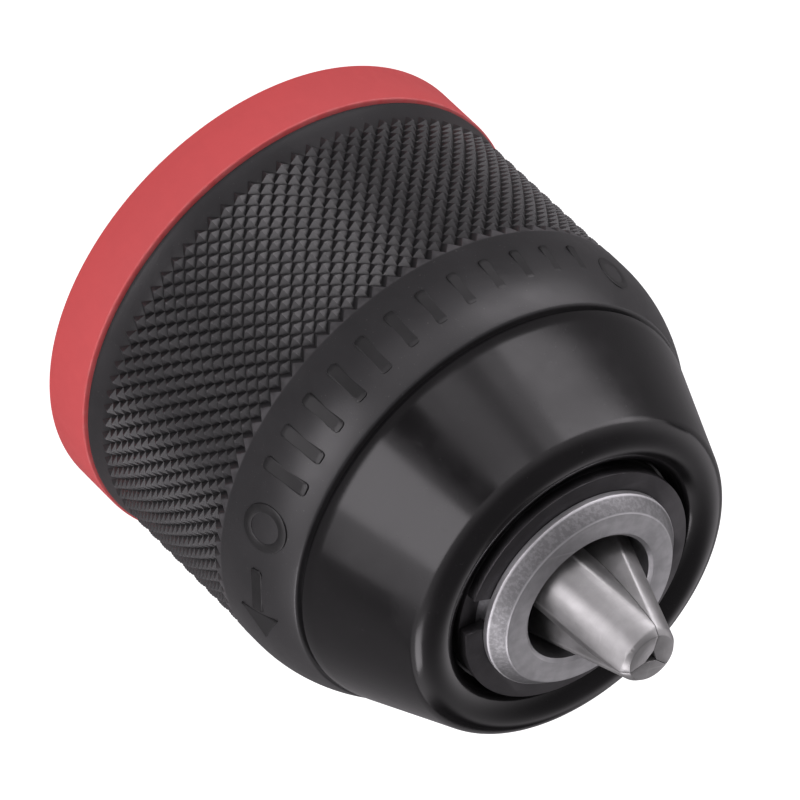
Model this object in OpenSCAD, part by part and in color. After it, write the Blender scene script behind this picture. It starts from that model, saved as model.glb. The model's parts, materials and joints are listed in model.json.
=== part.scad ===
// Hand-tightened three-jaw drill chuck with a single knurled grip sleeve.
// The origin is the centre of the rear face, and +Z runs along the spindle axis to the jaw tips.
// The chuck is drawn closed: turning the nut about +Z draws the three jaws back and opens it.

/* [Outside] */
// Outside diameter of the coloured rear ring
ring_d = 42; // [41.6:0.1:43]
// Height of the coloured rear ring
ring_h = 4.9; // [4.8:0.1:5]
// Outside diameter of the grip sleeve over the knurl
grip_d = 41.4; // [41:0.1:41.8]
// Height at which the sleeve's crowned band meets the nose shell
crease_z = 31.1; // [30.6:0.1:31.6]
// Outside diameter of the nose shell at the crease
shell_d = 37.7; // [37.4:0.1:37.9]
// Slope of the nose shell, radius lost per unit of height
shell_slope = 0.389; // [0.37:0.005:0.4]

/* [Steel body] */
// Height of the flat front face of the steel nose
face_z = 43.95; // [43.8:0.05:44.4]
// Diameter of the steel nose
nose_d = 18.06; // [17.96:0.02:18.1]
// Diameter of the bore that takes the tool shank
tool_bore_d = 11.68; // [11.4:0.02:12]
// Nominal diameter of the spindle thread, 3/8 inch
spindle_d = 9.525; // [9.525, 12.7]
// Depth of the spindle thread from the rear face
spindle_depth = 14.5; // [13:0.5:15]
// Diameter of the passage for a spindle screw
screw_passage_d = 6.4; // [5.5:0.1:6.4]

/* [Jaws] */
// Height of the closed jaw tips
tip_z = 51.9; // [51.6:0.1:52]
// Diameter of each jaw
jaw_d = 5.9; // [5.7:0.05:5.9]
// Angle between a jaw and the spindle axis
jaw_angle = 18; // [17.8:0.1:18.2]
// Pitch of the jaw teeth, measured along the jaw
tooth_pitch = 1.6; // [1.4:0.1:1.8]
// Depth of the jaw teeth
tooth_depth = 0.55; // [0.4:0.05:0.6]

/* [Bearing] */
// Number of bearing balls
ball_count = 20; // [12:1:24]
// Diameter of each bearing ball
ball_d = 2.38; // [2.3:0.02:2.38]
// Number of teeth on the ratchet race
ratchet_teeth = 36; // [24:1:48]

/* [Hidden] */
$fn = 96;

eps = 0.01;
kerf = 0.04;          // width of the split line between pieces that meet
run = 0.05;           // radial clearance of a sliding or turning steel fit

// jaw geometry: a jaw's axis meets the tip plane jaw_offset beyond the spindle axis
jaw_r = jaw_d / 2;
jaw_offset = 0.8;
jaw_azimuth = [90, 210, 330];
jaw_len = 32.9;
jaw_reach = 4;        // how far the uncut cylinder runs past the tip plane
grip_flat = 0.36;     // half the smallest shank that the closed jaws hold
tip_edge_r = 2.1;     // radius of the flat on the closed tips
tip_bevel = 0.84;     // radius gained per unit of height below the tip plane
function jaw_axis_r(z) = (tip_z - z) * tan(jaw_angle) - jaw_offset;
function jaw_outer_r(z) = jaw_axis_r(z) + jaw_r / cos(jaw_angle);

// teeth on the jaws and in the nut
tooth_step = tooth_pitch * cos(jaw_angle);
tooth_half_w = 0.45;
tooth_z0 = 21.9;
tooth_count = 13;
nut_tooth_count = 4;
nut_clear = 0.08;     // radial gap between the crests of the nut and of the jaws

// levels along the spindle axis, from the rear
sleeve_z0 = ring_h + 0.3;
cover_z0 = 3.2;
cover_z1 = 4.6;
clip_z0 = 2.2;
flange_z0 = 11.8;
flange_z1 = 15.9;
race_h = 1.8;
ball_z = 18.75;
front_race_z0 = 19.8;
nut_z0 = 21.7;
nut_z1 = 28.6;
land_z0 = 28.9;
land_z1 = 36.8;
web_z0 = 37;
web_z1 = 39.9;
washer_z0 = 40;
snap_z0 = 41.2;
snap_z1 = 42.2;
chamfer_z = 42.7;

// radii of the steel body
nose_r = nose_d / 2;
face_r = 7.96;
tail_r = 10.4;
shank_r = 10.9;
flange_r = 16.2;
seat_r = 14.2;
step_r = 13.2;
land_r = 10.2;
snap_groove_r = 8.4;
clip_groove_r = 9.7;

// radii of the turning parts
ball_ring_r = 15.05;
track_r = 1.25;
nut_r = 14.4;
band_r = 15.6;
dog_r = 18.1;
dog_half_angle = 7;
dog_azimuth = [30, 150, 270];
lock_angle = 15;      // free turn of the sleeve on the nut
liner_in_r = 17.45;
liner_r = 18.3;
liner_z0 = 17;
liner_z1 = 28.4;

// outside shapes
ring_r = ring_d / 2;
grip_r = grip_d / 2;
crown_z = 24.6;       // where the crowned band starts to fall away
crown_r = 12.6;       // radius of the crown's arc in section
lip_z = 40.03;        // centre of the nose shell's rounded lip, in section
lip_ring_r = 13.06;
lip_r = 2.19;
snap_gap_azimuth = 4;
snap_gap_angle = 18;

// a washer or tube standing on height z
module tube(inner_r, outer_r, z, h)
    translate([0, 0, z])
        difference() {
            cylinder(r = outer_r, h = h);
            translate([0, 0, -eps]) cylinder(r = inner_r, h = h + 2 * eps);
        }

// a wedge that spans the angles from a0 to a1, less than 180 degrees
module wedge(a0, a1, outer_r, z, h)
    translate([0, 0, z])
        linear_extrude(height = h)
            polygon([[0, 0],
                for (k = [0:4]) let (a = a0 + (a1 - a0) * k / 4)
                    outer_r / cos((a1 - a0) / 8) * [cos(a), sin(a)]]);

// puts local +Z on a jaw's axis, pointing to the tip, with its origin in the tip plane
module along_jaw(azimuth)
    rotate([0, 0, azimuth])
        translate([-jaw_offset, 0, tip_z])
            rotate([0, -jaw_angle, 0])
                children();

// ring-shaped tooth gaps on the jaws' outer cone, cut inwards when side is -1, outwards when 1
module tooth_gaps(first_z, count, crest, side)
    for (k = [0:count - 1]) {
        z = first_z + k * tooth_step;
        root = jaw_outer_r(z) + crest + side * tooth_depth;
        mouth = jaw_outer_r(z) + crest - side * tooth_depth;
        rotate_extrude()
            polygon([[root, z], [mouth, z - 2 * tooth_half_w], [mouth, z + 2 * tooth_half_w]]);
    }

// the round track that the balls run in
module ball_track()
    translate([0, 0, ball_z])
        rotate_extrude()
            translate([ball_ring_r, 0])
                circle(r = track_r, $fn = 48);

module chuck_body()
    color("silver")
        difference() {
            rotate_extrude()
                polygon([[0, 0], [tail_r - 0.5, 0], [tail_r, 0.5],
                    [tail_r, clip_z0 - run], [clip_groove_r, clip_z0 - run],
                    [clip_groove_r, cover_z0], [tail_r, cover_z0],
                    [tail_r, cover_z1], [shank_r, cover_z1], [shank_r, flange_z0],
                    [flange_r - 0.4, flange_z0], [flange_r, flange_z0 + 0.4],
                    [flange_r, flange_z1], [seat_r, flange_z1],
                    [seat_r, flange_z1 + race_h - 0.2], [step_r, flange_z1 + race_h - 0.2],
                    [step_r, nut_z0 - 0.3], [nose_r, nut_z0 - 0.3],
                    [nose_r, land_z0], [land_r, land_z0],
                    [land_r, land_z1], [nose_r, land_z1],
                    [nose_r, snap_z0 - run], [snap_groove_r, snap_z0 - run],
                    [snap_groove_r, snap_z1 + run], [nose_r, snap_z1 + run],
                    [nose_r, chamfer_z], [face_r, face_z], [0, face_z]]);
            spindle_hole();
            tool_bore();
            for (a = jaw_azimuth)
                along_jaw(a)
                    translate([0, 0, -52])
                        cylinder(r = jaw_r + run, h = 60);
        }

module spindle_hole() {
    translate([0, 0, -eps]) cylinder(d = spindle_d, h = spindle_depth + eps);
    translate([0, 0, -eps]) cylinder(r1 = spindle_d / 2 + 0.8, r2 = spindle_d / 2, h = 0.8);
    cylinder(d = screw_passage_d, h = 30);
}

module tool_bore() {
    bore_r = tool_bore_d / 2;
    bore_z0 = 27;
    translate([0, 0, bore_z0]) cylinder(r = bore_r, h = 20);
    translate([0, 0, bore_z0 - 2])
        cylinder(r1 = screw_passage_d / 2, r2 = bore_r, h = 2 + eps);
    translate([0, 0, face_z - 0.25]) cylinder(r1 = bore_r, r2 = bore_r + 0.3, h = 0.25 + eps);
}

// one jaw: an inclined round bar with two gripping faces, a flat tip and teeth on its back
module jaw(number) {
    azimuth = jaw_azimuth[number - 1];
    color("gainsboro")
        difference() {
            intersection() {
                along_jaw(azimuth)
                    translate([0, 0, -jaw_len])
                        cylinder(r = jaw_r, h = jaw_len + jaw_reach);
                rotate([0, 0, azimuth]) gripping_sector();
                cylinder(r1 = tip_edge_r + tip_bevel * tip_z, r2 = tip_edge_r, h = tip_z);
            }
            tooth_gaps(tooth_z0 + (number - 1) * tooth_step / 3, tooth_count, 0, -1);
        }
}

module gripping_sector() {
    far = 30;
    linear_extrude(height = tip_z)
        polygon([[grip_flat, grip_flat * tan(60) - kerf],
            [grip_flat, -grip_flat * tan(60) + kerf],
            [far, -far * tan(60) + kerf],
            [far, far * tan(60) - kerf]]);
}

// half of the split nut, on the side that the angle points to
module nut_half(angle)
    color("dimgray")
        difference() {
            translate([0, 0, nut_z0]) cylinder(r = nut_r, h = nut_z1 - nut_z0);
            translate([0, 0, nut_z0 - 1])
                cylinder(r1 = jaw_outer_r(nut_z0 - 1) + nut_clear,
                    r2 = jaw_outer_r(nut_z1 + 1) + nut_clear, h = nut_z1 - nut_z0 + 2);
            tooth_gaps(tooth_z0 + tooth_step / 2, nut_tooth_count, nut_clear, 1);
            rotate([0, 0, angle])
                translate([-20, -40 + kerf / 2, 0])
                    cube([40, 40, 40]);
        }

module nut_half_a() nut_half(0);
module nut_half_b() nut_half(180);

// band pressed round the split nut, with three dogs that the sleeve's liner turns
module nut_band()
    color("slategray")
        difference() {
            union() {
                tube(nut_r, band_r, nut_z0, nut_z1 - nut_z0);
                for (a = dog_azimuth)
                    intersection() {
                        tube(band_r - 0.4, dog_r, nut_z0 + 1.4, 4);
                        wedge(a - dog_half_angle, a + dog_half_angle, 25, nut_z0, 8);
                    }
            }
            translate([0, 0, nut_z1 - 0.4])
                difference() {
                    cylinder(r = band_r + 1, h = 1);
                    translate([0, 0, -eps]) cylinder(r1 = band_r, r2 = band_r - 1, h = 1 + 2 * eps);
                }
        }

module thrust_race()
    color("lightsteelblue")
        difference() {
            tube(step_r + 0.2, 16.3, front_race_z0, nut_z0 - front_race_z0);
            ball_track();
        }

module ball_cage()
    color("goldenrod")
        difference() {
            tube(13.4, 16.6, ball_z - 0.45, 0.9);
            for (k = [0:ball_count - 1])
                rotate([0, 0, k * 360 / ball_count])
                    translate([ball_ring_r, 0, ball_z - 1])
                        cylinder(r = ball_d / 2 + 0.04, h = 2, $fn = 32);
        }

module bearing_balls()
    color("white")
        for (k = [0:ball_count - 1])
            rotate([0, 0, k * 360 / ball_count])
                translate([ball_ring_r, 0, ball_z])
                    sphere(d = ball_d, $fn = 32);

// rear race: its saw teeth are what the lock spring's pawl drops into
module ratchet_race() {
    root_r = 16.4;
    point_r = 16.9;
    step = 360 / ratchet_teeth;
    color("lightsteelblue")
        difference() {
            translate([0, 0, flange_z1])
                linear_extrude(height = race_h)
                    polygon([for (k = [0:ratchet_teeth - 1], tooth = [0, 1])
                        (tooth == 0 ? root_r : point_r)
                            * [cos((k + 0.8 * tooth) * step), sin((k + 0.8 * tooth) * step)]]);
            translate([0, 0, flange_z1 - 1]) cylinder(r = seat_r, h = race_h + 2);
            ball_track();
        }
}

// open spring band round the turning race, with a pawl near one end and a hooked tab at the other
module lock_spring() {
    inner_r = 16.8;
    outer_r = 17.2;
    z0 = 18.2;
    top = nut_z0 - 0.3;
    gap = 80;
    tab_angle = 5;
    pawl_angle = 8;
    hook = dog_azimuth[0] + dog_half_angle + 0.3;
    color("steelblue") {
        difference() {
            tube(inner_r, outer_r, z0, top - z0);
            wedge(hook - gap, hook, 25, z0 - 1, 10);
        }
        intersection() {
            tube(inner_r + 0.05, outer_r - 0.05, top - 1, 2.6);
            wedge(hook + 0.4, hook + tab_angle, 25, z0, 10);
        }
        intersection() {
            tube(outer_r - 0.1, liner_in_r - 0.08, flange_z1 + 0.3, 4);
            wedge(hook - gap - pawl_angle, hook - gap - 0.4, 25, 10, 20);
        }
    }
}

// steel liner of the sleeve: each open-ended slot is wider than its dog by the free lock turn
module drive_liner()
    color("gray")
        difference() {
            tube(liner_in_r, liner_r, liner_z0, liner_z1 - liner_z0);
            for (a = dog_azimuth)
                wedge(a - dog_half_angle - 1, a + dog_half_angle + lock_angle + 1, 25,
                    liner_z0 - 1, nut_z0 + 5.7 - liner_z0 + 1);
        }

// outer sleeve: rear shoulder, plain cylinder for the knurl, crowned band
module grip_sleeve()
    color("#2c2b2e")
        rotate_extrude()
            difference() {
                union() {
                    polygon([[liner_r, sleeve_z0], [grip_r + 0.05, sleeve_z0],
                        [grip_r + 0.15, sleeve_z0 + 0.1], [grip_r + 0.12, sleeve_z0 + 0.7],
                        [grip_r, sleeve_z0 + 1.5], [grip_r, crown_z], [liner_r, crown_z]]);
                    intersection() {
                        translate([grip_r - crown_r, crown_z]) circle(r = crown_r, $fn = 200);
                        translate([liner_r, crown_z - eps])
                            square([grip_r - liner_r, crease_z - crown_z + eps]);
                    }
                }
                translate([liner_r - eps, sleeve_z0 - eps])
                    polygon([[0, 0], [0.5, 0], [0, 0.5]]);
            }

// glossy front shell: spigot in the sleeve, cone, rounded lip, web that runs on the steel nose
module nose_shell() {
    shell_r = shell_d / 2;
    wall = 2.2;
    lip_angle = atan(1 / shell_slope);
    tangent_z = lip_z + lip_r * cos(lip_angle);
    tangent_r = lip_ring_r + lip_r * sin(lip_angle);
    color("#17171a")
        rotate_extrude()
            difference() {
                union() {
                    polygon([[nose_r + 2 * run, crease_z], [shell_r - 0.3, crease_z],
                        [shell_r - 0.12, crease_z + 0.3], [tangent_r, tangent_z],
                        [lip_ring_r, lip_z], [lip_ring_r - lip_r, lip_z],
                        [lip_ring_r - lip_r, web_z1], [nose_r + 2 * run, web_z1]]);
                    translate([lip_ring_r, lip_z]) circle(r = lip_r, $fn = 96);
                    translate([16.4, liner_z1]) square([liner_r - 16.4, crease_z - liner_z1 + eps]);
                }
                polygon([[0, liner_z1 - 1], [16.4, liner_z1 - 1], [16.4, crease_z + 0.6],
                    [shell_r - shell_slope * (web_z0 - crease_z) - wall, web_z0], [0, web_z0]]);
            }
}

module rear_ring() {
    rim_r = 17.6;
    pocket_r = 19;
    edge = 0.15;
    color("#c65c5e")
        rotate_extrude()
            polygon([[rim_r, 0], [ring_r - edge, 0], [ring_r, edge], [ring_r, ring_h - edge],
                [ring_r - edge, ring_h], [pocket_r, ring_h], [pocket_r, cover_z0],
                [rim_r, cover_z0]]);
}

// pressed steel cup: it closes the rear, and its rim centres the sleeve
module rear_cover() {
    rim_r = liner_r - 2 * run;
    color("darkgray")
        difference() {
            union() {
                tube(tail_r, 19, cover_z0, cover_z1 - cover_z0);
                tube(rim_r - 0.6, rim_r, cover_z1 - eps, 3.4);
            }
            translate([0, 0, cover_z0])
                rotate_extrude()
                    translate([14.5, 0])
                        circle(r = 0.5, $fn = 32);
        }
}

// external circlip with two eyes
module tail_clip() {
    clip_r = 11.6;
    eye_angle = 14;
    thick = cover_z0 - clip_z0;
    color("dimgray")
        difference() {
            union() {
                tube(clip_groove_r, clip_r, clip_z0, thick);
                for (side = [-1, 1])
                    rotate([0, 0, side * eye_angle])
                        translate([clip_r - 0.1, 0, clip_z0])
                            cylinder(r = 1.5, h = thick);
            }
            for (side = [-1, 1])
                rotate([0, 0, side * eye_angle])
                    translate([clip_r + 0.1, 0, clip_z0 - 1])
                        cylinder(r = 0.7, h = thick + 2);
            wedge(-8, 8, 25, clip_z0 - 1, thick + 2);
            cylinder(r = clip_groove_r, h = 10);
        }
}

module nose_washer()
    color("#3a3a3d")
        tube(nose_r, 10.6, washer_z0, snap_z0 - washer_z0);

// open ring sprung into the steel nose, which keeps the sleeve on
module snap_ring()
    color("#38383b")
        difference() {
            tube(snap_groove_r, 10.66, snap_z0, snap_z1 - snap_z0);
            wedge(snap_gap_azimuth - snap_gap_angle / 2, snap_gap_azimuth + snap_gap_angle / 2,
                25, snap_z0 - 1, 4);
        }

chuck_body();
jaw(1);  // jaw_1
jaw(2);  // jaw_2
jaw(3);  // jaw_3
nut_half_a();
nut_half_b();
nut_band();
thrust_race();
ball_cage();
bearing_balls();
ratchet_race();
lock_spring();
drive_liner();
grip_sleeve();
nose_shell();
rear_ring();
rear_cover();
tail_clip();
nose_washer();
snap_ring();
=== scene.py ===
import json
import math

import bmesh
import bpy
from bpy.props import FloatProperty, FloatVectorProperty, IntProperty, PointerProperty
from mathutils import Matrix, Vector

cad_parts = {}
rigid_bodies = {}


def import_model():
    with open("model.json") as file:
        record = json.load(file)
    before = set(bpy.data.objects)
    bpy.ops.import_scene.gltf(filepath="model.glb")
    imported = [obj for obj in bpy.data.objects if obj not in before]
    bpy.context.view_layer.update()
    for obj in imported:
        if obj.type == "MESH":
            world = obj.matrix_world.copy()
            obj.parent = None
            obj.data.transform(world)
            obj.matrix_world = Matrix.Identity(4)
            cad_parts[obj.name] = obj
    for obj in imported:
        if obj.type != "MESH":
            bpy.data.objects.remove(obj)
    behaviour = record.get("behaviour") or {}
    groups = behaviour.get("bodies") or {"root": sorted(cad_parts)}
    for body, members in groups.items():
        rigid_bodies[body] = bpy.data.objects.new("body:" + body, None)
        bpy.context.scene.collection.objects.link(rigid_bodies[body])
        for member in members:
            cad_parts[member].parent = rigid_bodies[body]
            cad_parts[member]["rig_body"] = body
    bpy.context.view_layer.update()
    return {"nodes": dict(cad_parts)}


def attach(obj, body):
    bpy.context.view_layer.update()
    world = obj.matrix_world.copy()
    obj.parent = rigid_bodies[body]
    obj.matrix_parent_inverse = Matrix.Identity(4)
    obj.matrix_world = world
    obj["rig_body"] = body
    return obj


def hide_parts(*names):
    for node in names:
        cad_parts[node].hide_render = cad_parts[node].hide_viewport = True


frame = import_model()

bl_info = {
    "name": "Keyless drill chuck",
    "version": (1, 0, 0),
    "blender": (4, 5, 0),
    "location": "3D View > Sidebar > Chuck",
    "description": "Builds the looks of a single-sleeve keyless drill chuck around its frame",
    "category": "Object",
}

MM = 0.001
TURN = 2 * math.pi

# Heights (z) and radii (r) are in millimetres; the rear face is at height 0.
RING_R, RING_TOP = 21, 4.9
SLEEVE_FOOT, SLEEVE_R = 5.2, 20.7
SHOULDER_R = 20.42                      # smooth shoulder, where the knurl starts
KNURL_FOOT, KNURL_TOP = 6.7, 23.5
CROWN_FOOT, CROWN_BEND, CROWN_CENTRE = 24.6, 12.6, 8.1
CREASE = 31.1                           # seam between the sleeve's band and the nose shell
LINER_R = 18.3                          # bore of the sleeve, round its steel liner
SHELL_R, SHELL_SLOPE = 18.85, 0.389     # radius at the seam, and radius lost per height
LIP_R, LIP_RING_R, LIP_Z = 2.19, 13.06, 40.03
WEB_FOOT, WEB_TOP = 37, 39.9            # web of the shell that runs on the steel nose
NOSE_R, CHAMFER_Z, FACE_R, FACE_Z = 9.03, 42.7, 7.96, 43.95
THREAD_R, THREAD_PITCH, THREAD_DEPTH = 4.7625, 25.4 / 24, 0.5
TIP_Z, JAW_R, JAW_TILT, JAW_OFFSET = 51.9, 2.95, math.radians(18), 0.8
JAW_AROUND = [math.radians(a) for a in (90, 210, 330)]

MARK_Z = 27.75                          # middle of the raised marks on the band
MARK_LEAN = math.asin((MARK_Z - CROWN_FOOT) / CROWN_BEND)
MARK_R = CROWN_CENTRE + CROWN_BEND * math.cos(MARK_LEAN)
MARK_SUNK = 0.06                        # how far the marks' feet reach into the band

LAMP_TINT = (1.0, 0.955, 1.0)


class ChuckSizes(bpy.types.PropertyGroup):
    knurl_columns: IntProperty(
        name="Knurl points around", description="Diamonds in one row around the sleeve",
        default=90, min=30, max=120)
    knurl_rows: IntProperty(
        name="Knurl half rows", description="Half rows of diamonds along the sleeve",
        default=21, min=7, max=41)
    knurl_radius: FloatProperty(
        name="Knurl radius", description="Radius over the points of the knurl",
        default=SLEEVE_R * MM, unit="LENGTH")
    knurl_depth: FloatProperty(
        name="Knurl depth", description="Depth of the grooves between the diamonds",
        default=0.54 * MM, unit="LENGTH")
    knurl_flat: FloatProperty(
        name="Knurl point flat", description="Length taken off each ridge at a diamond's point",
        default=0.1 * MM, unit="LENGTH")
    mark_height: FloatProperty(
        name="Mark height", description="How far the opening marks stand out of the band",
        default=0.32 * MM, unit="LENGTH")
    segments: IntProperty(
        name="Steps around", description="Steps around a turned piece",
        default=192, min=48, max=360)


class ChuckColours(bpy.types.PropertyGroup):
    grip: FloatVectorProperty(
        name="Grip", description="Moulded plastic of the sleeve",
        default=(0.022, 0.0215, 0.0225), subtype="COLOR", min=0, max=1)
    # Colour of the knurl's points: rubbed wear and a painted highlight.
    grip_points_worn_highlit: FloatVectorProperty(
        name="Grip, worn", description="Rubbed points of the knurl",
        default=(0.115, 0.112, 0.116), subtype="COLOR", min=0, max=1)
    shell: FloatVectorProperty(
        name="Nose shell", description="Glossy plastic of the nose shell",
        default=(0.0075, 0.0070, 0.0075), subtype="COLOR", min=0, max=1)
    ring: FloatVectorProperty(
        name="Rear ring", description="Coloured plastic of the rear ring",
        default=(0.74, 0.103, 0.106), subtype="COLOR", min=0, max=1)
    steel: FloatVectorProperty(
        name="Turned steel", description="Steel of the body",
        default=(0.50, 0.50, 0.51), subtype="COLOR", min=0, max=1)
    jaw: FloatVectorProperty(
        name="Ground steel", description="Steel of the jaws",
        default=(0.40, 0.398, 0.396), subtype="COLOR", min=0, max=1)
    floor: FloatVectorProperty(
        name="Floor", description="Paper under the chuck",
        default=(0.45, 0.45, 0.45), subtype="COLOR", min=0, max=1)


def sizes():
    return bpy.context.scene.chuck_sizes


def colours():
    return bpy.context.scene.chuck_colours


# Modelling

def start_clear():
    """Nothing is selected and no piece is being edited, so the next tool acts on its own piece."""
    if bpy.context.mode != "OBJECT":
        bpy.ops.object.mode_set(mode="OBJECT")
    bpy.ops.object.select_all(action="DESELECT")


def take(piece):
    """Selects one piece alone, for the tools that act on the active object."""
    start_clear()
    piece.select_set(True)
    bpy.context.view_layer.objects.active = piece


def named(name):
    """Names the piece that was just added."""
    piece = bpy.context.object
    piece.name = piece.data.name = name
    return piece


def select(kind, test):
    """Selects the vertices, edges or faces that pass the test, on the piece in edit mode."""
    bpy.ops.mesh.select_mode(type=kind)
    bpy.ops.mesh.select_all(action="DESELECT")
    data = bpy.context.edit_object.data
    mesh = bmesh.from_edit_mesh(data)
    parts = {"VERT": mesh.verts, "EDGE": mesh.edges, "FACE": mesh.faces}[kind]
    for part in parts:
        if test(part):
            part.select_set(True)
    mesh.select_flush_mode()
    bmesh.update_edit_mesh(data)


def radius_of(point):
    return math.hypot(point.x, point.y) / MM


def edge_is_at(edge, r, z):
    near = 0.02
    return all(abs(radius_of(v.co) - r) < near and abs(v.co.z / MM - z) < near
               for v in edge.verts)


def clean():
    """Merges doubles and turns the faces outwards, then leaves edit mode."""
    bpy.ops.mesh.select_all(action="SELECT")
    bpy.ops.mesh.remove_doubles(threshold=0.001 * MM)
    bpy.ops.mesh.normals_make_consistent(inside=False)
    bpy.ops.object.mode_set(mode="OBJECT")


def apply_all(piece):
    take(piece)
    for modifier in list(piece.modifiers):
        bpy.ops.object.modifier_apply(modifier=modifier.name)


def smooth(piece, degrees=30):
    take(piece)
    bpy.ops.object.shade_smooth_by_angle(angle=math.radians(degrees))


def arc(centre_r, centre_z, bend, first, last, steps):
    """Points of an outline's arc, from one angle to another in degrees."""
    angles = [math.radians(first + (last - first) * k / steps) for k in range(steps + 1)]
    return [(centre_r + bend * math.cos(a), centre_z + bend * math.sin(a)) for a in angles]


def eased(outline, steps=3):
    """Rounds each corner that states a radius: (r, z, radius)."""
    points = []
    for k, corner in enumerate(outline):
        here = Vector(corner[:2])
        if len(corner) < 3:
            points.append(tuple(here))
            continue
        before = (Vector(outline[k - 1][:2]) - here).normalized()
        after = (Vector(outline[(k + 1) % len(outline)][:2]) - here).normalized()
        half = before.angle(after) / 2
        centre = here + (before + after).normalized() * (corner[2] / math.sin(half))
        start = here + before * (corner[2] / math.tan(half)) - centre
        end = here + after * (corner[2] / math.tan(half)) - centre
        turn = start.angle_signed(end)
        for step in range(steps + 1):
            swing = start.copy()
            swing.rotate(Matrix.Rotation(-turn * step / steps, 2))
            points.append(tuple(centre + swing))
    return points


def turned(name, outline, steps=None):
    """Draws a closed outline of (r, z) points by extruding a vertex, and spins it."""
    start_clear()
    bpy.ops.mesh.primitive_plane_add(size=MM)
    piece = named(name)
    bpy.ops.object.mode_set(mode="EDIT")
    bpy.ops.mesh.merge(type="CENTER")
    bpy.ops.transform.translate(value=(outline[0][0] * MM, 0, outline[0][1] * MM))
    for (r0, z0), (r1, z1) in zip(outline, outline[1:]):
        bpy.ops.mesh.extrude_vertices_move(
            TRANSFORM_OT_translate={"value": ((r1 - r0) * MM, 0, (z1 - z0) * MM)})
    select("VERT", lambda v: len(v.link_edges) < 2)
    bpy.ops.mesh.edge_face_add()
    bpy.ops.mesh.select_all(action="SELECT")
    bpy.ops.mesh.spin(steps=steps or sizes().segments, angle=TURN, center=(0, 0, 0),
                      axis=(0, 0, 1), use_auto_merge=True)
    clean()
    smooth(piece)
    return piece


def cad_copy(node, name, bevel, angle=32):
    """A merged copy of a CAD node's mesh, with its edges sharper than the angle eased."""
    source = frame["nodes"][node]
    piece = bpy.data.objects.new(name, source.data.copy())
    piece.data.name = name
    bpy.context.scene.collection.objects.link(piece)
    take(piece)
    bpy.ops.object.mode_set(mode="EDIT")
    bpy.ops.mesh.select_all(action="SELECT")
    bpy.ops.mesh.remove_doubles(threshold=0.002 * MM)
    bpy.ops.mesh.customdata_custom_splitnormals_clear()
    bpy.ops.mesh.dissolve_limited(angle_limit=math.radians(0.4))
    bpy.ops.object.mode_set(mode="OBJECT")
    ease_edges(piece, bevel, angle).miter_outer = "MITER_ARC"
    apply_all(piece)
    bpy.ops.object.mode_set(mode="EDIT")
    clean()
    smooth(piece)
    return piece


def ease_edges(piece, width, angle):
    rounding = piece.modifiers.new("Edges", "BEVEL")
    rounding.width = width * MM
    rounding.segments = 2
    rounding.limit_method = "ANGLE"
    rounding.angle_limit = math.radians(angle)
    return rounding


def cut_with(piece, cutter):
    take(piece)
    cut = piece.modifiers.new("Cut", "BOOLEAN")
    cut.operation = "DIFFERENCE"
    cut.object = cutter
    cut.solver = "MANIFOLD"
    bpy.ops.object.modifier_apply(modifier=cut.name)
    bpy.data.objects.remove(cutter)


def finish_piece(piece, material, slot, body, *nodes):
    """Gives a piece its material and the body it rides on, and hides the nodes it stands for; the
    slot is not used.
    """
    piece.data.materials.clear()
    piece.data.materials.append(material)
    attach(piece, body)
    if nodes:
        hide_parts(*nodes)


# Node trees

class Wiring:
    """Adds nodes to a material's or a group's tree and joins their sockets."""

    def __init__(self, tree):
        self.tree = tree
        self.placed = 0

    def add(self, kind, feeds=None, **settings):
        node = self.tree.nodes.new(kind)
        node.location = (190 * (self.placed % 8), -260 * (self.placed // 8))
        self.placed += 1
        for name, value in settings.items():
            setattr(node, name, value)
        for socket, value in (feeds or {}).items():
            self.feed(node.inputs[socket], value)
        return node

    def feed(self, socket, value):
        if isinstance(value, bpy.types.NodeSocket):
            self.tree.links.new(value, socket)
        else:
            socket.default_value = value

    def math(self, operation, a, b=0.0, clamp=False):
        node = self.add("ShaderNodeMath", {0: a, 1: b}, operation=operation, use_clamp=clamp)
        return node.outputs[0]

    def ramp(self, value, low, high, out_low=0.0, out_high=1.0):
        """A value carried smoothly from one range to another, and held at both ends."""
        node = self.add("ShaderNodeMapRange",
                        {"Value": value, "From Min": low, "From Max": high,
                         "To Min": out_low, "To Max": out_high},
                        interpolation_type="SMOOTHSTEP")
        return node.outputs["Result"]

    def noise(self, place, scale, detail=2.0, roughness=0.5):
        node = self.add("ShaderNodeTexNoise",
                        {"Vector": place, "Scale": scale, "Detail": detail,
                         "Roughness": roughness})
        return node.outputs["Fac"]

    def blend(self, share, a, b):
        """A colour between two others."""
        node = self.add("ShaderNodeMix", data_type="RGBA")
        for socket, value in ((0, share), (6, a), (7, b)):
            self.feed(node.inputs[socket], value)
        return node.outputs[2]


def rgba(colour, gain=1.0):
    return (*[min(1.0, c * gain) for c in colour], 1.0)


def group(name, inputs, outputs, build):
    """A shader node group with named sockets, built once."""
    tree = bpy.data.node_groups.get(name)
    if tree:
        return tree
    tree = bpy.data.node_groups.new(name, "ShaderNodeTree")
    for label, value in inputs.items():
        kind = "NodeSocketVector" if value is None else "NodeSocketFloat"
        made = tree.interface.new_socket(name=label, in_out="INPUT", socket_type=kind)
        if value is not None:
            made.default_value = value
    for label in outputs:
        tree.interface.new_socket(name=label, in_out="OUTPUT", socket_type="NodeSocketFloat")
    w = Wiring(tree)
    entry = w.add("NodeGroupInput")
    results = build(w, entry.outputs)
    leave = w.add("NodeGroupOutput")
    for label, value in results.items():
        w.feed(leave.inputs[label], value)
    return tree


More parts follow.
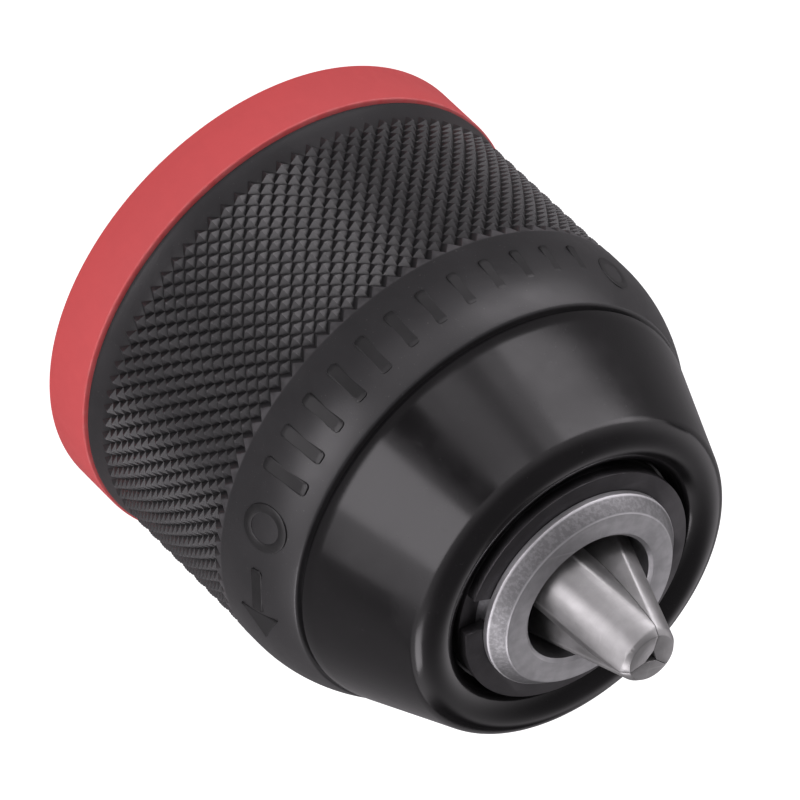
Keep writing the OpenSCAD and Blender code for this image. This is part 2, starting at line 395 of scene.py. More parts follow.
def axis_place():
    """Distance from the spindle axis and height, in millimetres."""
    def build(w, given):
        parts = w.add("ShaderNodeSeparateXYZ", {0: given["Position"]}).outputs
        flat = w.add("ShaderNodeCombineXYZ", {0: parts[0], 1: parts[1]}).outputs[0]
        length = w.add("ShaderNodeVectorMath", {0: flat}, operation="LENGTH").outputs["Value"]
        return {"Radius": w.math("MULTIPLY", length, 1000.0),
                "Height": w.math("MULTIPLY", parts[2], 1000.0)}
    return group("Axis place", {"Position": None}, ["Radius", "Height"], build)


def fine_grain():
    """Even grain of a moulded, blasted or painted surface; Size is one grain in millimetres."""
    def build(w, given):
        scale = w.math("DIVIDE", 1000.0, given["Size"])
        fine = w.noise(given["Position"], scale, 3.0, 0.6)
        broad = w.noise(given["Position"], w.math("MULTIPLY", scale, 0.12), 2.0)
        return {"Grain": fine, "Mottle": w.ramp(broad, 0.3, 0.7)}
    return group("Fine grain", {"Position": None, "Size": 0.2}, ["Grain", "Mottle"], build)


def turning_marks():
    """Lines that a lathe leaves around the spindle axis; Pitch is in millimetres."""
    def build(w, given):
        place = w.add("ShaderNodeGroup", node_tree=axis_place())
        w.feed(place.inputs["Position"], given["Position"])
        rate = w.math("DIVIDE", 1.0, given["Pitch"])
        across = w.add("ShaderNodeCombineXYZ", {
            0: w.math("MULTIPLY", place.outputs["Radius"], rate),
            1: w.math("MULTIPLY", place.outputs["Height"], rate)}).outputs[0]
        lines = w.noise(across, 1.0, 4.0, 0.65)
        drift = w.noise(given["Position"], 260.0, 2.0)
        return {"Lines": w.math("ADD", w.math("MULTIPLY", lines, 0.8),
                                w.math("MULTIPLY", drift, 0.2))}
    return group("Turning marks", {"Position": None, "Pitch": 0.12}, ["Lines"], build)


def handling_wear():
    """Smudges from fingers, thin scratches and specks of dust; Patch is in millimetres."""
    def build(w, given):
        scale = w.math("DIVIDE", 1000.0, given["Patch"])
        smudge = w.ramp(w.noise(given["Position"], scale, 4.0, 0.62), 0.38, 0.68)
        marks = []
        for turn, stretch in (((0.4, 0.9, 0.3), (2600.0, 70.0, 900.0)),
                              ((1.3, 0.2, 2.1), (70.0, 2300.0, 800.0))):
            turned_place = w.add("ShaderNodeMapping", {
                "Vector": given["Position"], "Rotation": turn, "Scale": stretch})
            lines = w.noise(turned_place.outputs[0], 1.0, 2.0, 0.5)
            marks.append(w.ramp(lines, 0.71, 0.76))
        scratches = w.math("MAXIMUM", *marks)
        specks = w.ramp(w.noise(given["Position"], 5200.0, 1.0), 0.735, 0.77)
        return {"Smudge": smudge, "Scratches": scratches, "Dust": specks}
    return group("Handling wear", {"Position": None, "Patch": 9.0},
                 ["Smudge", "Scratches", "Dust"], build)


def new_material(name):
    """An empty material: its wiring, its shader and the object's own coordinates."""
    material = bpy.data.materials.new(name)
    material.use_nodes = True
    material.node_tree.nodes.clear()
    w = Wiring(material.node_tree)
    shader = w.add("ShaderNodeBsdfPrincipled")
    output = w.add("ShaderNodeOutputMaterial")
    w.feed(output.inputs["Surface"], shader.outputs[0])
    place = w.add("ShaderNodeTexCoord").outputs["Object"]
    return material, w, shader, place


def use(w, tree, place, **values):
    """Places a node group in a material, with its own values."""
    node = w.add("ShaderNodeGroup", node_tree=tree)
    w.feed(node.inputs["Position"], place)
    for label, value in values.items():
        w.feed(node.inputs[label], value)
    return node.outputs


def relief(w, shader, height, strength, depth):
    """Small relief from a height between 0 and 1; depth is in millimetres."""
    bump = w.add("ShaderNodeBump", {"Strength": strength, "Distance": depth * MM,
                                    "Height": height})
    w.feed(shader.inputs["Normal"], bump.outputs[0])


def grip_plastic():
    """Satin moulded plastic, with painted shade down in the knurl's grooves, and its points
    lighter from rubbed wear and a painted highlight.
    """
    material, w, shader, place = new_material("grip_plastic")
    c, s = colours(), sizes()
    grain = use(w, fine_grain(), place, Size=0.16)
    wear = use(w, handling_wear(), place, Patch=7.0)
    axis = use(w, axis_place(), place)
    point_r = s.knurl_radius / MM
    tips = w.ramp(axis["Radius"], point_r - 0.16, point_r - 0.01)
    knurled = w.math("MULTIPLY", w.ramp(axis["Height"], KNURL_FOOT - 0.1, KNURL_FOOT + 0.1),
                     w.ramp(axis["Height"], KNURL_TOP - 0.1, KNURL_TOP + 0.1, 1.0, 0.0))
    # The knurl's points are lighter: rubbed wear and a painted highlight.
    worn_and_highlit = w.math("MULTIPLY", w.math("MULTIPLY", tips, knurled),
                    w.ramp(grain["Mottle"], 0.0, 1.0, 0.35, 1.0))
    # Painted shade: the knurl's grooves are darkened towards their bottoms.
    low = w.math("MULTIPLY", knurled,
                 w.ramp(axis["Radius"], point_r - s.knurl_depth / MM, point_r - 0.22, 1.0, 0.0))
    base = w.blend(w.math("MULTIPLY", wear["Smudge"], 0.5), rgba(c.grip), rgba(c.grip, 1.35))
    base = w.blend(w.math("MULTIPLY", low, 0.8), base, rgba(c.grip, 0.3))
    base = w.blend(w.math("MULTIPLY", worn_and_highlit, 0.65), base, rgba(c.grip_points_worn_highlit))
    base = w.blend(w.math("MULTIPLY", wear["Dust"], 0.3), base, (0.16, 0.155, 0.15, 1.0))
    w.feed(shader.inputs["Base Color"], base)
    rough = w.math("ADD", w.ramp(wear["Smudge"], 0.0, 1.0, 0.29, 0.37),
                   w.math("MULTIPLY", grain["Grain"], 0.08))
    w.feed(shader.inputs["Roughness"], rough)
    relief(w, shader, grain["Grain"], 0.35, 0.02)
    return material


def marks_plastic():
    """The sleeve's plastic on the raised marks: rubbed tops, and painted shade along their sides
    and feet.
    """
    material, w, shader, place = new_material("marks_plastic")
    c, s = colours(), sizes()
    grain = use(w, fine_grain(), place, Size=0.16)
    wear = use(w, handling_wear(), place, Patch=7.0)
    axis = use(w, axis_place(), place)
    climb = w.math("SUBTRACT", axis["Height"], CROWN_FOOT)
    band_r = w.math("ADD", CROWN_CENTRE, w.math("SQRT", w.math(
        "SUBTRACT", CROWN_BEND ** 2, w.math("MULTIPLY", climb, climb))))
    proud = w.math("SUBTRACT", axis["Radius"], band_r)
    # Painted shade: below their tops the marks are dark along their sides and feet; the rubbed
    # tops are lighter.
    top = w.ramp(proud, s.mark_height / MM * 0.72, s.mark_height / MM * 0.98)
    base = w.blend(top, rgba(c.grip, 0.2), rgba(c.grip, 1.9))
    base = w.blend(w.math("MULTIPLY", wear["Smudge"], 0.3), base, rgba(c.grip, 1.6))
    w.feed(shader.inputs["Base Color"], base)
    w.feed(shader.inputs["Roughness"], w.ramp(wear["Smudge"], 0.0, 1.0, 0.36, 0.46))
    relief(w, shader, grain["Grain"], 0.3, 0.02)
    return material


def gloss_shell():
    """Polished black plastic with faint smudges and hairline scratches."""
    material, w, shader, place = new_material("gloss_shell")
    c = colours()
    wear = use(w, handling_wear(), place, Patch=11.0)
    grain = use(w, fine_grain(), place, Size=0.9)
    base = w.blend(w.math("MULTIPLY", wear["Smudge"], 0.4), rgba(c.shell), rgba(c.shell, 1.6))
    base = w.blend(w.math("MULTIPLY", wear["Dust"], 0.12), base, (0.10, 0.10, 0.10, 1.0))
    w.feed(shader.inputs["Base Color"], base)
    rough = w.math("ADD", w.ramp(wear["Smudge"], 0.0, 1.0, 0.15, 0.23),
                   w.math("MULTIPLY", wear["Scratches"], 0.05))
    w.feed(shader.inputs["Roughness"], rough)
    shader.inputs["Specular IOR Level"].default_value = 0.34
    relief(w, shader, grain["Grain"], 0.08, 0.02)
    return material


def ring_plastic():
    """Matt coloured plastic with a fine moulded grain, and slightly paler edges from rubbed wear
    and a painted highlight.
    """
    material, w, shader, place = new_material("ring_plastic")
    c = colours()
    grain = use(w, fine_grain(), place, Size=0.14)
    wear = use(w, handling_wear(), place, Patch=6.0)
    axis = use(w, axis_place(), place)
    # The top and bottom edges are paler and pinkish: rubbed wear and a painted highlight.
    low_edge = w.ramp(axis["Height"], 0.05, 0.2, 1.0, 0.0)
    high_edge = w.ramp(axis["Height"], RING_TOP - 0.2, RING_TOP - 0.05)
    edges = w.math("MULTIPLY", w.math("MAXIMUM", low_edge, high_edge),
                   w.ramp(grain["Mottle"], 0.0, 1.0, 0.05, 0.3))
    base = w.blend(w.math("MULTIPLY", wear["Smudge"], 0.35), rgba(c.ring), rgba(c.ring, 0.88))
    base = w.blend(w.math("MULTIPLY", grain["Grain"], 0.12), base, rgba(c.ring, 0.8))
    base = w.blend(edges, base, (0.72, 0.24, 0.24, 1.0))
    w.feed(shader.inputs["Base Color"], base)
    w.feed(shader.inputs["Roughness"], w.ramp(wear["Smudge"], 0.0, 1.0, 0.52, 0.62))
    relief(w, shader, grain["Grain"], 0.3, 0.02)
    return material


def steel(name, colour, rough, pitch=0.1, grain_size=0.12, mottle=0.15, lines=0.2, depth=0.012,
          coarse_from=None):
    """A metal finish with lathe lines, blasted grain and a mottled tone.
    Beyond the radius coarse_from, the nose's chamfer is darker and rougher cut, with a painted
    highlight along its outer edge."""
    material = bpy.data.materials.get(name)
    if material:
        return material
    material, w, shader, place = new_material(name)
    shader.inputs["Metallic"].default_value = 1.0
    marks = use(w, turning_marks(), place, Pitch=pitch)
    grain = use(w, fine_grain(), place, Size=grain_size)
    wear = use(w, handling_wear(), place, Patch=4.0)
    tone = w.math("MULTIPLY", grain["Mottle"], mottle)
    base = w.blend(tone, rgba(colour), rgba(colour, 0.55))
    base = w.blend(w.ramp(marks["Lines"], 0.35, 0.65, 0.0, lines), base, rgba(colour, 0.7))
    base = w.blend(w.math("MULTIPLY", wear["Scratches"], 0.3), base, rgba(colour, 1.4))
    low, high = rough
    roughness = w.math("ADD", w.ramp(wear["Smudge"], 0.0, 1.0, low, high),
                       w.math("MULTIPLY", marks["Lines"], 0.08))
    height = w.math("ADD", w.math("MULTIPLY", marks["Lines"], lines * 3),
                    w.math("MULTIPLY", grain["Grain"], 1.0 - lines))
    if coarse_from:
        axis = use(w, axis_place(), place)
        cut = w.math("MULTIPLY", w.ramp(axis["Radius"], coarse_from, coarse_from + 0.1),
                     w.ramp(axis["Height"], CHAMFER_Z - 0.15, CHAMFER_Z - 0.05))
        chatter = use(w, fine_grain(), place, Size=0.3)
        patches = w.math("MULTIPLY", cut, w.ramp(chatter["Grain"], 0.42, 0.62))
        base = w.blend(w.math("MULTIPLY", cut, 0.85), base, rgba(colour, 0.38))
        base = w.blend(w.math("MULTIPLY", patches, 0.3), base, rgba(colour, 0.9))
        # Painted highlight: a thin bright line along the chamfer's outer edge.
        rim = w.math("MULTIPLY", w.ramp(axis["Radius"], NOSE_R - 0.16, NOSE_R - 0.04), cut)
        base = w.blend(w.math("MULTIPLY", rim, 0.75), base, rgba(colour, 1.5))
        height = w.math("ADD", height, w.math("MULTIPLY", patches, 0.5))
    w.feed(shader.inputs["Base Color"], base)
    w.feed(shader.inputs["Roughness"], roughness)
    relief(w, shader, height, 0.5, depth)
    return material


def body_steel():
    return steel("turned_steel", colours().steel, (0.40, 0.50), 0.16, 0.12, 0.3, 0.15, 0.016,
                 FACE_R + 0.05)


def jaw_steel():
    return steel("ground_steel", colours().jaw, (0.36, 0.44), 0.07, 0.1, 0.2, 0.2, 0.012)


def black_steel():
    return steel("black_oxide", (0.085, 0.082, 0.086), (0.42, 0.52), 0.2, 0.2, 0.4, 0.1)


def pressed_zinc():
    return steel("pressed_zinc", (0.52, 0.52, 0.50), (0.34, 0.48), 0.5, 0.5, 0.4, 0.1)


# Operators

class CHUCK_OT_grip_sleeve(bpy.types.Operator):
    """Model the grip sleeve: cut diamonds, rear shoulder, crowned band and bore"""
    bl_idname = "chuck.grip_sleeve"
    bl_label = "Grip sleeve"
    bl_options = {"REGISTER", "UNDO"}

    def execute(self, context):
        start_clear()
        s = sizes()
        columns, rows = 2 * s.knurl_columns, s.knurl_rows
        outer = s.knurl_radius
        tall = (KNURL_TOP - KNURL_FOOT) * MM
        bpy.ops.mesh.primitive_cylinder_add(
            vertices=columns, radius=outer, depth=tall, end_fill_type="NOTHING",
            location=(0, 0, (KNURL_FOOT + KNURL_TOP) / 2 * MM))
        piece = named("grip_sleeve_knurled")
        bpy.ops.object.transform_apply(location=True)
        bpy.ops.object.mode_set(mode="EDIT")
        select("EDGE", lambda e: abs(e.verts[0].co.z - e.verts[1].co.z) > tall / 2)
        bpy.ops.mesh.subdivide(number_cuts=rows - 1)

        def cell(v):
            column = round(math.atan2(v.co.x, v.co.y) / TURN * columns)
            return column, round((v.co.z / MM - KNURL_FOOT) / (KNURL_TOP - KNURL_FOOT) * rows)

        def inner(v, parity):
            column, row = cell(v)
            return 0 < row < rows and (column + row) % 2 == parity

        for chosen, radius in ((lambda v: inner(v, 1), outer - s.knurl_depth),
                               (lambda v: cell(v)[1] == 0, SHOULDER_R * MM)):
            select("VERT", chosen)
            shrink = radius / outer
            bpy.ops.transform.resize(value=(shrink, shrink, 1), center_override=(0, 0, 0))
        bpy.ops.mesh.select_all(action="SELECT")
        bpy.ops.mesh.quads_convert_to_tris(quad_method="SHORTEST_DIAGONAL")
        select("VERT", lambda v: inner(v, 0))
        bpy.ops.mesh.bevel(affect="VERTICES", offset=s.knurl_flat, offset_type="OFFSET",
                           segments=1)

        band_end = CROWN_CENTRE + math.sqrt(CROWN_BEND ** 2 - (CREASE - CROWN_FOOT) ** 2)
        rise = math.degrees(math.asin((CREASE - CROWN_FOOT) / CROWN_BEND))
        top = eased([(SLEEVE_R, KNURL_TOP), (SLEEVE_R, CROWN_FOOT)]
                    + arc(CROWN_CENTRE, CROWN_FOOT, CROWN_BEND, 1, rise - 1.8, 18)
                    + [(band_end, CREASE, 0.3), (LINER_R, CREASE)], 5)
        foot = eased([(SHOULDER_R, KNURL_FOOT), (SHOULDER_R + 0.03, 6.35), (20.72, 5.5),
                      (20.8, SLEEVE_FOOT, 0.06), (LINER_R + 0.5, SLEEVE_FOOT),
                      (LINER_R, SLEEVE_FOOT + 0.5)])
        for outline in (top, foot):
            r0, z0 = outline[0]
            select("EDGE", lambda e: edge_is_at(e, r0, z0))
            for r1, z1 in outline[1:]:
                bpy.ops.mesh.extrude_region_move(
                    TRANSFORM_OT_translate={"value": (0, 0, (z1 - z0) * MM)})
                share = r1 / r0
                bpy.ops.transform.resize(value=(share, share, 1), center_override=(0, 0, 0))
                r0, z0 = r1, z1
        ends = (top[-1], foot[-1])
        select("EDGE", lambda e: any(edge_is_at(e, *end) for end in ends))
        bpy.ops.mesh.bridge_edge_loops()
        clean()
        smooth(piece, 24)
        finish_piece(piece, grip_plastic(), "grip_black", "sleeve", "grip_sleeve")
        return {"FINISHED"}


def lay_on_band(piece, around):
    """Turns a flat plate, wide along X and tall along Y, to lie on the sleeve's band."""
    stand = Matrix.Rotation(math.pi / 2, 4, "X") @ Matrix.Rotation(math.pi, 4, "Y")
    tilt = Matrix.Rotation(-MARK_LEAN, 4, "X")
    aim = Matrix.Rotation(around + math.pi / 2, 4, "Z")
    reach = Matrix.Translation((MARK_R * MM * math.cos(around), MARK_R * MM * math.sin(around),
                                MARK_Z * MM))
    take(piece)
    piece.matrix_world = reach @ aim @ tilt @ stand
    bpy.ops.object.transform_apply(location=True, rotation=True, scale=True)
    return piece


def net(cuts):
    """Divides a flat face finely enough to follow the band's bend."""
    bpy.ops.mesh.select_all(action="SELECT")
    bpy.ops.mesh.poke()
    bpy.ops.mesh.subdivide(number_cuts=cuts)
    bpy.ops.object.mode_set(mode="OBJECT")


def mark_bar(width, height, around, shift=0.0):
    start_clear()
    bpy.ops.mesh.primitive_plane_add(size=MM)
    piece = named("mark_bar")
    piece.scale = (width, height, 1)
    piece.location.y = shift * MM
    bpy.ops.object.transform_apply(location=True, rotation=True, scale=True)
    bpy.ops.object.mode_set(mode="EDIT")
    bpy.ops.mesh.bevel(affect="VERTICES", offset=min(width, height) * 0.3 * MM, segments=3)
    net(3)
    return lay_on_band(piece, around)


def mark_ring(radius, wall, around):
    start_clear()
    bpy.ops.mesh.primitive_circle_add(vertices=40, radius=radius * MM, fill_type="NGON")
    piece = named("mark_ring")
    bpy.ops.object.mode_set(mode="EDIT")
    bpy.ops.mesh.select_all(action="SELECT")
    bpy.ops.mesh.inset(thickness=wall * MM)
    bpy.ops.mesh.delete(type="FACE")
    bpy.ops.object.mode_set(mode="OBJECT")
    return lay_on_band(piece, around)


def mark_head(radius, around):
    """The head of an arrow that points the way the sleeve opens."""
    start_clear()
    bpy.ops.mesh.primitive_circle_add(vertices=3, radius=radius * MM, fill_type="NGON")
    piece = named("mark_head")
    piece.rotation_euler.z = math.pi / 2
    bpy.ops.object.transform_apply(rotation=True)
    bpy.ops.object.mode_set(mode="EDIT")
    bpy.ops.mesh.bevel(affect="VERTICES", offset=0.18 * MM, segments=3)
    net(4)
    return lay_on_band(piece, around)


class CHUCK_OT_grip_marks(bpy.types.Operator):
    """Model the raised opening marks on the band: two rings, growing ticks and an arrow"""
    bl_idname = "chuck.grip_marks"
    bl_label = "Opening marks"
    bl_options = {"REGISTER", "UNDO"}

    def execute(self, context):
        start_clear()
        plates = [mark_ring(1.6, 0.7, math.radians(-117))]
        first, last, ticks = math.radians(-106), math.radians(-14), 12
        tallest = 4.4
        for k in range(ticks):
            share = k / (ticks - 1)
            height = 2.6 + (tallest - 2.6) * share
            plates.append(mark_bar(0.8 + 0.4 * share, height, first + (last - first) * share,
                                   shift=-(tallest - height) / 2))
        plates.append(mark_ring(2.1, 0.8, 0.0))
        plates.append(mark_bar(4.6, 1.1, math.radians(18)))
        plates.append(mark_head(2.2, math.radians(28)))

        start_clear()
        for plate in plates:
            plate.select_set(True)
        bpy.context.view_layer.objects.active = plates[0]
        bpy.ops.object.join()
        piece = named("band_marks")

        band = turned("band_guide", [(LINER_R, CROWN_FOOT - 1), (SLEEVE_R, CROWN_FOOT - 1)]
                      + arc(CROWN_CENTRE, CROWN_FOOT, CROWN_BEND, 0, 31, 40)
                      + [(LINER_R, CREASE)], 360)
        take(piece)
        hug = piece.modifiers.new("Hug", "SHRINKWRAP")
        hug.target = band
        hug.wrap_method = "NEAREST_SURFACEPOINT"
        hug.wrap_mode = "ABOVE_SURFACE"
        hug.offset = -MARK_SUNK * MM
        wall = piece.modifiers.new("Wall", "SOLIDIFY")
        wall.thickness = sizes().mark_height + MARK_SUNK * MM
        wall.offset = 1.0
        wall.use_even_offset = True
        ease_edges(piece, 0.1, 50)
        apply_all(piece)
        bpy.data.objects.remove(band)
        take(piece)
        bpy.ops.object.mode_set(mode="EDIT")
        clean()
        smooth(piece, 35)
        finish_piece(piece, marks_plastic(), "grip_black", "sleeve")
        return {"FINISHED"}


class CHUCK_OT_nose_shell(bpy.types.Operator):
    """Model the glossy nose shell: cone, rounded lip, web and spigot"""
    bl_idname = "chuck.nose_shell"
    bl_label = "Nose shell"
    bl_options = {"REGISTER", "UNDO"}

    def execute(self, context):
        start_clear()
        lean = math.degrees(math.atan(SHELL_SLOPE))
        wall = 2.2
        web_r = SHELL_R - SHELL_SLOPE * (WEB_FOOT - CREASE) - wall
        bore_r = NOSE_R + 0.1
        outline = eased(
            [(16.4, 28.4), (LINER_R, 28.4, 0.15), (LINER_R, CREASE + 0.3),
             (18.68, CREASE + 0.42, 0.16)]
            + [(18.84 - SHELL_SLOPE * (z - 31.2), z) for z in (32.5, 34.5, 36.5, 38.5)]
            + arc(LIP_RING_R, LIP_Z, LIP_R, lean, 180, 28)
            + [(LIP_RING_R - LIP_R, WEB_TOP, 0.05), (bore_r, WEB_TOP, 0.12),
               (bore_r, WEB_FOOT, 0.12), (web_r, WEB_FOOT, 0.4), (16.4, CREASE + 0.6)])
        piece = turned("nose_shell_gloss", outline, 256)
        finish_piece(piece, gloss_shell(), "gloss_black", "sleeve", "nose_shell")
        return {"FINISHED"}


class CHUCK_OT_rear_ring(bpy.types.Operator):
    """Model the coloured rear ring"""
    bl_idname = "chuck.rear_ring"
    bl_label = "Rear ring"
    bl_options = {"REGISTER", "UNDO"}

    def execute(self, context):
        start_clear()
        outline = eased([(17.6, 0, 0.15), (RING_R, 0, 0.2), (RING_R, RING_TOP, 0.14),
                         (19, RING_TOP, 0.1), (19, 3.2), (17.6, 3.2)], 4)
        piece = turned("rear_ring_coloured", outline, 256)
        finish_piece(piece, ring_plastic(), "ring_red", "chuck", "rear_ring")
        return {"FINISHED"}


class CHUCK_OT_steel_body(bpy.types.Operator):
    """Model the steel body: turned outline, spindle thread, tool bore and three jaw bores"""
    bl_idname = "chuck.steel_body"
    bl_label = "Steel body"
    bl_options = {"REGISTER", "UNDO"}

    def execute(self, context):
        start_clear()
        thread = []
        height = 14.0
        while height > 1.6:
            thread += [(THREAD_R, height), (THREAD_R - THREAD_DEPTH, height - THREAD_PITCH / 2)]
            height -= THREAD_PITCH
        outline = eased(
            [(5.56, 0), (9.9, 0), (10.4, 0.5, 0.1), (10.4, 2.15), (9.7, 2.15), (9.7, 3.2),
             (10.4, 3.2), (10.4, 4.6), (10.9, 4.6), (10.9, 11.8), (15.8, 11.8), (16.2, 12.2),
             (16.2, 15.9), (14.2, 15.9), (14.2, 17.5), (13.2, 17.5), (13.2, 21.4),
             (NOSE_R, 21.4), (NOSE_R, 28.9), (10.2, 28.9), (10.2, 36.8), (NOSE_R, 36.8),
             (NOSE_R, 41.15), (8.4, 41.15), (8.4, 42.25), (NOSE_R, 42.25),
             (NOSE_R, CHAMFER_Z, 0.08), (FACE_R, FACE_Z, 0.1), (6.14, FACE_Z, 0.05),
             (5.84, FACE_Z - 0.25), (5.84, 27), (3.2, 25), (3.2, 14.5), (THREAD_R, 14.5)]
            + thread + [(THREAD_R, 0.8)])
        piece = turned("steel_body", outline, 240)
        bore_length, past_tips = 60.0, 8
        for around in JAW_AROUND:
            start_clear()
            bpy.ops.mesh.primitive_cylinder_add(
                vertices=96, radius=(JAW_R + 0.05) * MM, depth=bore_length * MM)
            bore = named("jaw_bore_cutter")
            bore.matrix_world = jaw_axis(around) @ Matrix.Translation(
                (0, 0, (past_tips - bore_length / 2) * MM))
            cut_with(piece, bore)
        take(piece)
        bpy.ops.object.mode_set(mode="EDIT")
        clean()
        smooth(piece)
        finish_piece(piece, body_steel(), "body_steel", "chuck", "chuck_body")
        return {"FINISHED"}


def jaw_axis(around):
    """Puts local Z on a jaw's axis, with the origin in the plane of the closed tips."""
    return (Matrix.Rotation(around, 4, "Z")
            @ Matrix.Translation((-JAW_OFFSET * MM, 0, TIP_Z * MM))
            @ Matrix.Rotation(-JAW_TILT, 4, "Y"))


class CHUCK_OT_jaws(bpy.types.Operator):
    """Model the three jaws, with eased edges on their tips, flats and teeth"""
    bl_idname = "chuck.jaws"
    bl_label = "Jaws"
    bl_options = {"REGISTER", "UNDO"}

    def execute(self, context):
        start_clear()
        for number in (1, 2, 3):
            node = f"jaw_{number}"
            piece = cad_copy(node, f"{node}_ground", 0.035, 30)
            finish_piece(piece, jaw_steel(), "jaw_steel", node, node)
        return {"FINISHED"}


class CHUCK_OT_retainers(bpy.types.Operator):
    """Model the snap ring, washer, rear cover and tail clip"""
    bl_idname = "chuck.retainers"
    bl_label = "Rings and cover"
    bl_options = {"REGISTER", "UNDO"}

    def execute(self, context):
        start_clear()
        oxide = black_steel()
        for node, bevel, material, slot in (
                ("snap_ring", 0.12, oxide, "black_steel"),
                ("nose_washer", 0.05, oxide, "black_steel"),
                ("tail_clip", 0.04, oxide, "black_steel"),
                ("rear_cover", 0.08, pressed_zinc(), "pressed_steel")):
            piece = cad_copy(node, f"{node}_eased", bevel)
            finish_piece(piece, material, slot, frame["nodes"][node]["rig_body"], node)
        return {"FINISHED"}


class CHUCK_OT_inner_works(bpy.types.Operator):
    """Give the split nut, bearing, lock spring and liner their finishes"""
    bl_idname = "chuck.inner_works"
    bl_label = "Inner works"
    bl_options = {"REGISTER", "UNDO"}

    def execute(self, context):
        start_clear()
        nut = steel("nut_steel", (0.30, 0.30, 0.31), (0.32, 0.42), 0.12, 0.15, 0.3, 0.25)
        race = steel("race_steel", (0.60, 0.60, 0.61), (0.16, 0.24), 0.06, 0.08, 0.1, 0.3)
        brass = steel("cage_brass", (0.62, 0.44, 0.16), (0.26, 0.36), 0.1, 0.12, 0.25, 0.2)
        ball = steel("ball_chrome", (0.78, 0.78, 0.79), (0.05, 0.09), 0.3, 0.3, 0.05, 0.02, 0.002)
        spring = steel("spring_steel", (0.16, 0.20, 0.30), (0.24, 0.34), 0.2, 0.2, 0.35, 0.15)
        for node, material in (
                ("nut_half_a", nut), ("nut_half_b", nut), ("nut_band", nut),
                ("thrust_race", race), ("ratchet_race", race), ("ball_cage", brass),
                ("bearing_balls", ball), ("lock_spring", spring), ("drive_liner", pressed_zinc())):
            for slot in frame["nodes"][node].material_slots:
                slot.material = material
        return {"FINISHED"}


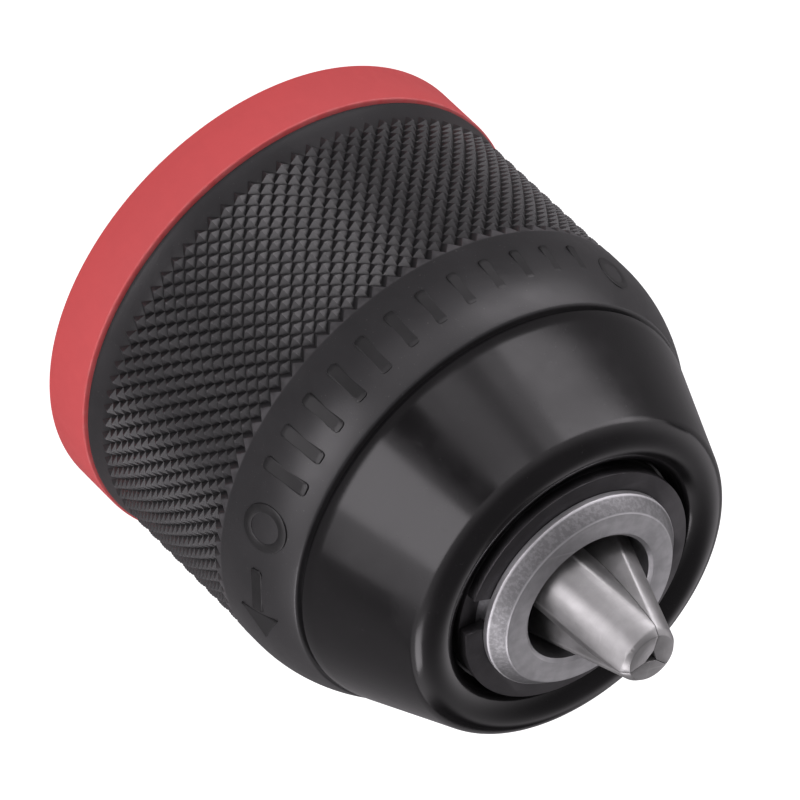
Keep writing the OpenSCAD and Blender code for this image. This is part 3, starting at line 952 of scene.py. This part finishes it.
class CHUCK_OT_stage(bpy.types.Operator):
    """Set the pale floor, the soft lights and the camera"""
    bl_idname = "chuck.stage"
    bl_label = "Stage"
    bl_options = {"REGISTER", "UNDO"}

    def execute(self, context):
        start_clear()
        self.floor()
        self.sky()
        # name, around, height, distance, wide, tall, strength against white
        for light in (("box_left", -117, 0.085, 0.50, 0.42, 0.16, 2.0),
                      ("wing_left", -116, 0.085, 0.52, 0.68, 0.16, 1.2),
                      ("box_middle", -62, 0.085, 0.50, 0.20, 0.16, 1.0),
                      ("box_right", -11, 0.095, 0.50, 0.32, 0.18, 2.5),
                      ("wing_right", 0, 0.095, 0.52, 0.58, 0.18, 1.1)):
            self.soft_box(*light)
        self.soft_box("box_behind", 58, 0.24, 0.50, 0.26, 0.16, 4.2, tilted=True)
        self.camera()
        return {"FINISHED"}

    def floor(self):
        bpy.ops.mesh.primitive_circle_add(vertices=96, radius=8, fill_type="NGON")
        piece = named("paper_floor")
        bpy.ops.object.mode_set(mode="EDIT")
        bpy.ops.mesh.select_all(action="SELECT")
        bpy.ops.mesh.inset(thickness=1.5)
        bpy.ops.object.mode_set(mode="OBJECT")
        material, w, shader, place = new_material("pale_paper")
        grain = use(w, fine_grain(), place, Size=0.6)
        paper = colours().floor
        w.feed(shader.inputs["Base Color"],
               w.blend(w.math("MULTIPLY", grain["Mottle"], 0.1), rgba(paper), rgba(paper, 0.99)))
        w.feed(shader.inputs["Roughness"], w.ramp(grain["Grain"], 0.0, 1.0, 0.85, 0.95))
        shader.inputs["Specular IOR Level"].default_value = 0.1
        # a lit table: the paper itself shows white, and its glow isn't cast on the chuck
        seen = w.add("ShaderNodeLightPath").outputs["Is Camera Ray"]
        glow = w.add("ShaderNodeEmission", {"Color": (1.0, 1.0, 1.0, 1.0),
                                            "Strength": seen})
        lit = w.add("ShaderNodeAddShader", {0: shader.outputs[0], 1: glow.outputs[0]})
        w.feed(w.tree.nodes["Material Output"].inputs["Surface"], lit.outputs[0])
        piece.data.materials.append(material)

    def sky(self):
        """Pale surroundings that darken overhead, with soft dark gaps between the panels."""
        world = bpy.data.worlds.new("white_room")
        world.use_nodes = True
        world.node_tree.nodes.clear()
        w = Wiring(world.node_tree)
        way = w.add("ShaderNodeTexCoord").outputs["Generated"]
        height = w.add("ShaderNodeSeparateXYZ", {0: way}).outputs[2]
        level = w.ramp(height, 0.25, 0.85, 1.0, 0.2)
        # around, height and half width of each gap in degrees, and how dark it is
        for around, lift, wide, depth in ((-43, 5, 8, 0.9), (-57, 5, 4, 0.5),
                                          (-169, 0, 8, 0.9), (113, 8, 20, 0.97)):
            a, e = math.radians(around), math.radians(lift)
            aim = (math.cos(a) * math.cos(e), math.sin(a) * math.cos(e), math.sin(e))
            near = w.add("ShaderNodeVectorMath", {0: way, 1: aim}, operation="DOT_PRODUCT")
            gap = w.ramp(near.outputs["Value"], math.cos(math.radians(wide * 1.3)),
                         math.cos(math.radians(wide * 0.7)), 0.0, depth)
            level = w.math("SUBTRACT", level, gap, clamp=True)
        back = w.add("ShaderNodeBackground", {"Color": rgba(LAMP_TINT), "Strength": level})
        out = w.add("ShaderNodeOutputWorld")
        w.feed(out.inputs["Surface"], back.outputs[0])
        bpy.context.scene.world = world

    def soft_box(self, name, around, height, distance, wide, tall, strength, tilted=False):
        """A panel that faces the chuck level, or tilted down at its middle."""
        data = bpy.data.lights.new(name, "AREA")
        data.shape = "RECTANGLE"
        data.size, data.size_y = wide, tall
        data.energy = strength * math.pi * wide * tall
        data.color = LAMP_TINT
        lamp = bpy.data.objects.new(name, data)
        bpy.context.scene.collection.objects.link(lamp)
        a = math.radians(around)
        lamp.location = (distance * math.cos(a), distance * math.sin(a), height)
        chuck_middle = 0.03
        aim = Vector((0, 0, chuck_middle if tilted else height)) - lamp.location
        lamp.rotation_euler = aim.to_track_quat("-Z", "Y").to_euler()

    def camera(self):
        data = bpy.data.cameras.new("camera")
        data.lens, data.sensor_width = 405, 36
        data.clip_start, data.clip_end = 0.05, 50
        camera = bpy.data.objects.new("camera", data)
        bpy.context.scene.collection.objects.link(camera)
        around, lift, roll = (math.radians(d) for d in (-42.0, 35.91, 133.92))
        aim = Vector((2.03, -2.98, 20.16)) * MM
        back = Vector((math.cos(around) * math.cos(lift), math.sin(around) * math.cos(lift),
                       math.sin(lift)))
        level = (-back).cross(Vector((0, 0, 1))).normalized()
        rise = level.cross(-back)
        right = math.cos(roll) * level + math.sin(roll) * rise
        up = -math.sin(roll) * level + math.cos(roll) * rise
        turn = Matrix((right, up, back)).transposed().to_4x4()
        camera.matrix_world = Matrix.Translation(aim + back * 0.7094) @ turn
        bpy.context.scene.camera = camera
        bpy.context.scene.view_settings.view_transform = "Standard"


class CHUCK_PT_panel(bpy.types.Panel):
    """Lists the sizes, the colours and the pieces"""
    bl_idname = "CHUCK_PT_panel"
    bl_label = "Drill chuck"
    bl_space_type = "VIEW_3D"
    bl_region_type = "UI"
    bl_category = "Chuck"

    def draw(self, context):
        for settings in (context.scene.chuck_sizes, context.scene.chuck_colours):
            box = self.layout.box()
            for name in settings.__annotations__:
                box.prop(settings, name)
        for operator in BUILDERS:
            self.layout.operator(operator.bl_idname)


BUILDERS = (CHUCK_OT_grip_sleeve, CHUCK_OT_grip_marks, CHUCK_OT_nose_shell,
            CHUCK_OT_rear_ring, CHUCK_OT_steel_body, CHUCK_OT_jaws, CHUCK_OT_retainers,
            CHUCK_OT_inner_works, CHUCK_OT_stage)
CLASSES = (ChuckSizes, ChuckColours, *BUILDERS, CHUCK_PT_panel)


def register():
    for cls in CLASSES:
        bpy.utils.register_class(cls)
    bpy.types.Scene.chuck_sizes = PointerProperty(type=ChuckSizes)
    bpy.types.Scene.chuck_colours = PointerProperty(type=ChuckColours)


def unregister():
    del bpy.types.Scene.chuck_colours
    del bpy.types.Scene.chuck_sizes
    for cls in reversed(CLASSES):
        bpy.utils.unregister_class(cls)


def main():
    register()
    for operator in BUILDERS:
        module, action = operator.bl_idname.split(".")
        getattr(getattr(bpy.ops, module), action)()


if __name__ == "__main__":
    main()
